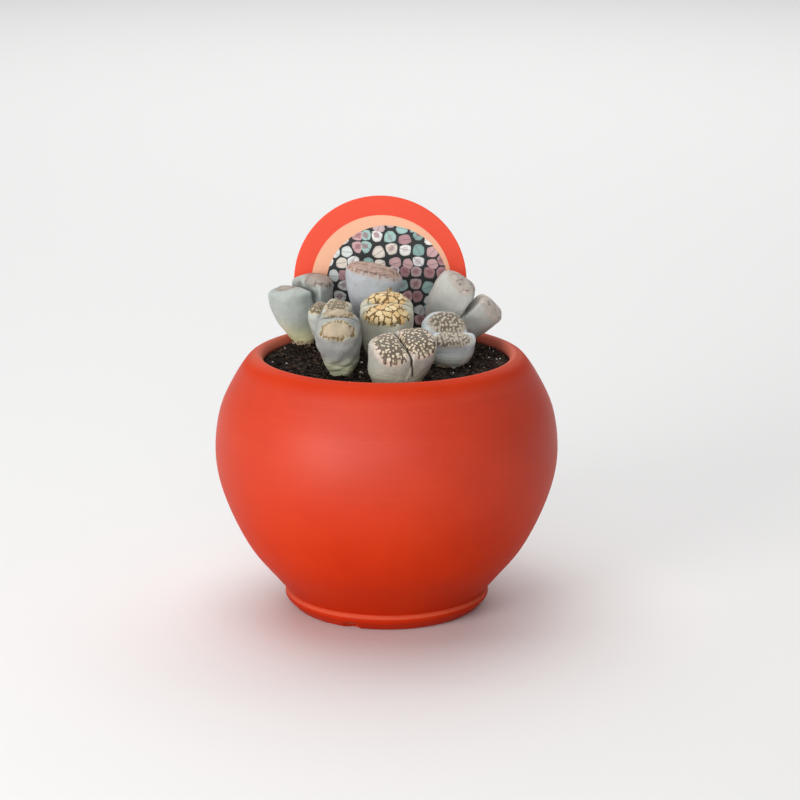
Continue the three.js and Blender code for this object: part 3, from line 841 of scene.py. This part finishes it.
def fibre(rng, x, y):
    # a thin bent strand of peat
    length, thin = rng.uniform(*litter["fibreLength"]), rng.uniform(*litter["fibreSize"])
    bm = bmesh.new()
    bmesh.ops.create_cone(bm, cap_ends=True, segments=5, radius1=thin, radius2=thin * 0.4, depth=length)
    sides = [e for e in bm.edges if abs(e.verts[0].co.z - e.verts[1].co.z) > length * 0.5]
    bmesh.ops.subdivide_edges(bm, edges=sides, cuts=5, use_grid_fill=True)
    curl, turn = rng.uniform(-0.25, 0.25), rng.random() * math.tau
    for vert in bm.verts:
        run = vert.co.z
        side = vert.co.x + curl * run * run / length * 2
        px = x + run * math.cos(turn) - side * math.sin(turn)
        py = y + run * math.sin(turn) + side * math.cos(turn)
        over = max(1, math.hypot(px, py) / (ground["radius"] - 0.5))
        px, py = px / over, py / over
        rise = 0.4 * math.sin(run / length * math.pi) ** 2
        vert.co = (px, py, surface(px, py) + thin + vert.co.y + rise)
    return bm


def makeSoil():
    rim, bottom, clearance = ground["radius"], ground["bottom"], ground["clearance"]
    rings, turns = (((ground["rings"], ground["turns"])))
    profile = [(0, bottom), (pot["floorRadius"] - clearance, bottom)]
    profile += [(p.x - clearance, p.y) for p in (innerWall(mix(0.1, 0.88, i / 11)) for i in range(12))]
    profile += [(rim * (1 - i / rings), ground["level"]) for i in range(rings + 1)]
    bm = spun(profile, turns)
    for vert in bm.verts:
        if abs(vert.co.z - ground["level"]) < 1e-3:
            vert.co.z = surface(vert.co.x, vert.co.y)
    piece("peat_mix", bm, soilPaint("peat", "110d0b", "6d584b", 800), replaces="soil")

    rng = random.Random(11)
    thinner = 1
    crumbs = []
    for _ in range(litter["crumbs"] // thinner):
        size = rng.uniform(*litter["crumbSize"]) * rng.random() ** 0.5
        crumbs.append(lump(rng, *openGround(rng, 0.2), size, 0.15, 1))
    for plant in plants.values():  # peat pressed against each neck
        for _ in range(int(plant["neck"] * litter["neckCrumbs"])):
            turn, away = rng.random() * math.tau, plant["neck"] + rng.uniform(-0.1, 0.8)
            x, y = plant["foot"][0] + away * math.cos(turn), plant["foot"][1] + away * math.sin(turn)
            crumbs.append(lump(rng, x, y, rng.uniform(*litter["neckSize"]), 0.1, 1))
    crumbPaint = soilPaint("crumb", "15100d", "7b6455", 900)
    piece("peat_crumbs", gathered(crumbs), crumbPaint, smooth=False)

    strands = [fibre(rng, *openGround(rng, 3)) for _ in range(litter["fibres"] // thinner)]
    piece("peat_fibres", gathered(strands), soilPaint("fibre", "2c2019", "6a5240", 700))

    grains = [lump(rng, x, y, rng.uniform(*litter["whiteSize"]), 0.5, 2)
              for x, y in litter["whiteGrains"]]
    for _ in range(litter["grains"]):
        grains.append(lump(rng, *openGround(rng, 0.6), rng.uniform(*litter["grainSize"]), 0.45, 2))
    piece("perlite_grains", gathered(grains), grainPaint(), smooth=False)


makeSoil()
print("soil filled and strewn")


# Husks: the dried rest of older leaves, thin ragged sheets bent round a part of a neck

dry = {"sheet": 0.14, "dark": "8a6f52", "pale": "dccdb0", "patch": "6b4d35", "streaks": (900, 900, 160)}
husks = {
    # plant, from and to in degrees round its foot, how high it stands and how far it leans out, in mm
    "husk_left": ("lithops_left", -170, -30, 2.4, 1.2),
    "husk_front": ("lithops_front", -60, 20, 2.4, 1.3),
    "husk_behind_front": ("lithops_front", 40, 105, 12.6, 0.9),
    "husk_right": ("lithops_right", -150, -75, 1.6, 1.4),
    "husk_centre": ("lithops_centre", -40, 60, 4.5, 1.5),
}


def huskPaint():
    paint = Paint("driedHusk", Specular_IOR_Level=0.2)
    streak = paint.noise(paint.stretch(paint.place, dry["streaks"]), 1.0, 3, 0.6)
    patch = paint.noise(paint.place, 300, 2, 0.6)
    color = paint.blend(paint.fade(0.3, 0.7, streak), dry["dark"], dry["pale"])
    color = paint.blend(paint.fade(0.55, 0.7, patch) * 0.6, color, dry["patch"])
    return paint.finish(Base_Color=color, Roughness=0.6 + streak * 0.25,
                        Normal=paint.bump(streak, 0.00012, 0.9))


def drySheet(name, bm, material):
    # a bent grid gets its thickness and becomes a piece
    bmesh.ops.solidify(bm, geom=bm.faces, thickness=dry["sheet"])
    bmesh.ops.recalc_face_normals(bm, faces=bm.faces)
    piece(name, bm, material)


def makeHusks(material):
    for number, (name, (owner, start, end, tall, out)) in enumerate(husks.items()):
        plant = plants[owner]
        foot = footPoint(plant)
        bm = bmesh.new()
        bmesh.ops.create_grid(bm, x_segments=36, y_segments=8, size=0.5)
        for vert in bm.verts:
            across, up = vert.co.x + 0.5, vert.co.y + 0.5
            angle = math.radians(mix(start, end, across))
            tear = noise.noise(Vector((across * 7, number * 3.1, 0.4)))
            ragged = up * (math.sin(math.pi * mix(0.04, 0.96, across)) ** 0.5) * (0.8 + 0.45 * tear)
            crumple = 0.3 * noise.noise(Vector((across * 9, up * 3, number * 5.7)))
            radius = plant["neck"] + 0.35 + out * ragged ** 1.6 + crumple * up
            vert.co = (foot.x + radius * math.cos(angle), foot.y + radius * math.sin(angle),
                       foot.z + root["sink"] - 0.2 + tall * ragged)
        drySheet(name, bm, material)


# a small curled flake of dry skin on the back edge of the middle plant
flake = {"place": Vector((0.9, 0.4, 107.5)), "long": 2.8, "tall": 2.0}


def makeFlake(material):
    bm = bmesh.new()
    bmesh.ops.create_grid(bm, x_segments=16, y_segments=6, size=0.5)
    for vert in bm.verts:
        along, up = vert.co.x, vert.co.y + 0.5
        curl = mix(-1.1, 1.3, up) + 0.3 * noise.noise(Vector((along * 4, up * 3, 2.2)))
        vert.co = flake["place"] + Vector((along * flake["long"] * (1 - 0.4 * up),
                                           0.5 * math.cos(curl) + 0.5 * along,
                                           flake["tall"] * (up + 0.25 * along) + 0.2 * math.sin(curl)))
    drySheet("dry_flake", bm, material)


dried = huskPaint()
makeHusks(dried)
makeFlake(dried)
print("husks laid")


# Label

label = {
    # the disc, the angle below its middle where the point starts, the point's half width, top and tip
    "radius": 30, "centre": (-2.3, 33.5, 105.3), "thickness": 0.8, "bevel": 0.12,
    "turn": 20, "stem": (8, 30), "tip": 44,
    # the round fields, as middle and radius from the disc's own middle
    "band": (0.4, -1.2, 24.4), "picture": (2.4, -1.6, 21.2), "backRim": (0, 0, 29.1),
    "border": "ec4b2f", "peach": "f3b795", "dark": "2b2d2e", "back": "e9e4da", "backStain": "dcd3c4",
    # the pebbles: their size in mm, how irregularly they lie, and their colours
    "pebble": 4.3, "jitter": 0.62, "soft": "a0656c", "cleft": "5d4a48", "shade": "6f6a66",
    "dirt": "4a3a30",
    "pebbles": ["eef0ee", "a9cdc8", "cdb4b6", "e9dfd4", "b98f94", "f4f4f2", "8fb3ae", "f0e4e2", "d6aeb0",
                "dfe5e2"],
}


def labelPaint():
    paint = Paint("labelPrint", Specular_IOR_Level=0.4)
    x, y, z = paint.split(paint.around(label["centre"]))

    def disc(middleX, middleZ, radius):
        away = ((x - middleX) ** 2.0 + (z - middleZ) ** 2.0) ** 0.5
        return 1 - paint.fade(radius - 0.12, radius + 0.12, away)

    # close packed pebbles, each with its own shade, a cleft and a soft face
    packed = paint.join(x / label["pebble"] + 3.3, z / label["pebble"] + 7.7)
    gap = paint.cells(packed, "DISTANCE_TO_EDGE", label["jitter"])
    pebble, middle, chance = (paint.cells(packed, randomness=label["jitter"], output=output)
                              for output in ("Distance", "Position", "Color"))
    shade, soft, turn = paint.split(chance)
    px, pz = (a - b for a, b in zip(paint.split(packed)[:2], paint.split(middle)))
    lie = turn * 2.4 - 1.2
    cleft = abs(px * lie.calc("SINE") + pz * lie.calc("COSINE"))
    step = 1 / len(label["pebbles"])
    stops = [(i * step, tint(code)) for i, code in enumerate(label["pebbles"])]
    stone = paint.node("ShaderNodeValToRGB", {"stops": stops}, {"Fac": shade}, "Color")
    wavy = (paint.noise(paint.join(x, z), 1.3, 2, 0.5) - 0.5) * 0.3
    face = (1 - paint.fade(0.2, 0.3, pebble + wavy)) * paint.fade(0.2, 0.8, soft)
    stone = paint.blend(face * 0.65, stone, label["soft"])
    stone = paint.blend((1 - paint.fade(0.01, 0.05, cleft)) * 0.5, stone, label["cleft"])
    stone = paint.blend(paint.fade(0.3, 0.5, pebble) * 0.25, stone, label["shade"])
    inside = paint.fade(0.02, 0.05, gap - (pebble - 0.4) * 0.9)
    picture = paint.blend(inside, label["dark"], stone)
    color = paint.blend(disc(*label["band"]), label["border"], label["peach"])
    color = paint.blend(disc(*label["picture"]), color, picture)
    grain = paint.noise(paint.place, 900, 2, 0.5)
    stain = paint.noise(paint.place, 60, 4, 0.65)
    edge = disc(*label["backRim"])  # on the back the colour only shows through at the rim
    plain = paint.blend(paint.fade(0.4, 0.7, stain) * 0.5, label["back"], label["backStain"])
    plain = paint.blend(edge, label["peach"], plain)
    color = paint.blend(paint.fade(0.1, 0.2, y), color, plain)
    dirt = (1 - paint.fade(-21.0, -14.0, z + (stain - 0.5) * 12.0)) * paint.fade(0.35, 0.6, grain)
    color = paint.blend(dirt * 0.7, color, label["dirt"])
    rough = 0.36 + paint.fade(0.3, 0.7, grain) * 0.08
    return paint.finish(Base_Color=color, Roughness=rough, Normal=paint.bump(grain, 0.00002, 0.5))


def makeLabel():
    bm = bmesh.new()
    outline = []
    for i in range(121):
        angle = math.radians(mix(-label["turn"], 180 + label["turn"], i / 120))
        outline.append((label["radius"] * math.cos(angle), label["radius"] * math.sin(angle)))
    halfWidth, top = label["stem"]
    outline += [(-halfWidth, -top), (0, -label["tip"]), (halfWidth, -top)]
    face = bm.faces.new([bm.verts.new((x, 0, z)) for x, z in outline])
    grown = bmesh.ops.extrude_face_region(bm, geom=[face])
    moved = [g for g in grown["geom"] if isinstance(g, bmesh.types.BMVert)]
    bmesh.ops.translate(bm, vec=(0, label["thickness"], 0), verts=moved)
    bmesh.ops.recalc_face_normals(bm, faces=bm.faces)
    edges = [e for e in bm.edges if abs(e.verts[0].co.y - e.verts[1].co.y) < 1e-6]
    bmesh.ops.bevel(bm, geom=edges, offset=label["bevel"], segments=2, profile=0.5, affect="EDGES",
                    material=-1)
    cx, cy, cz = label["centre"]
    bmesh.ops.translate(bm, vec=(cx, cy - label["thickness"] / 2, cz), verts=bm.verts)
    piece("plant_label", bm, labelPaint(), replaces="label", smooth=False)


makeLabel()
print("label cut")
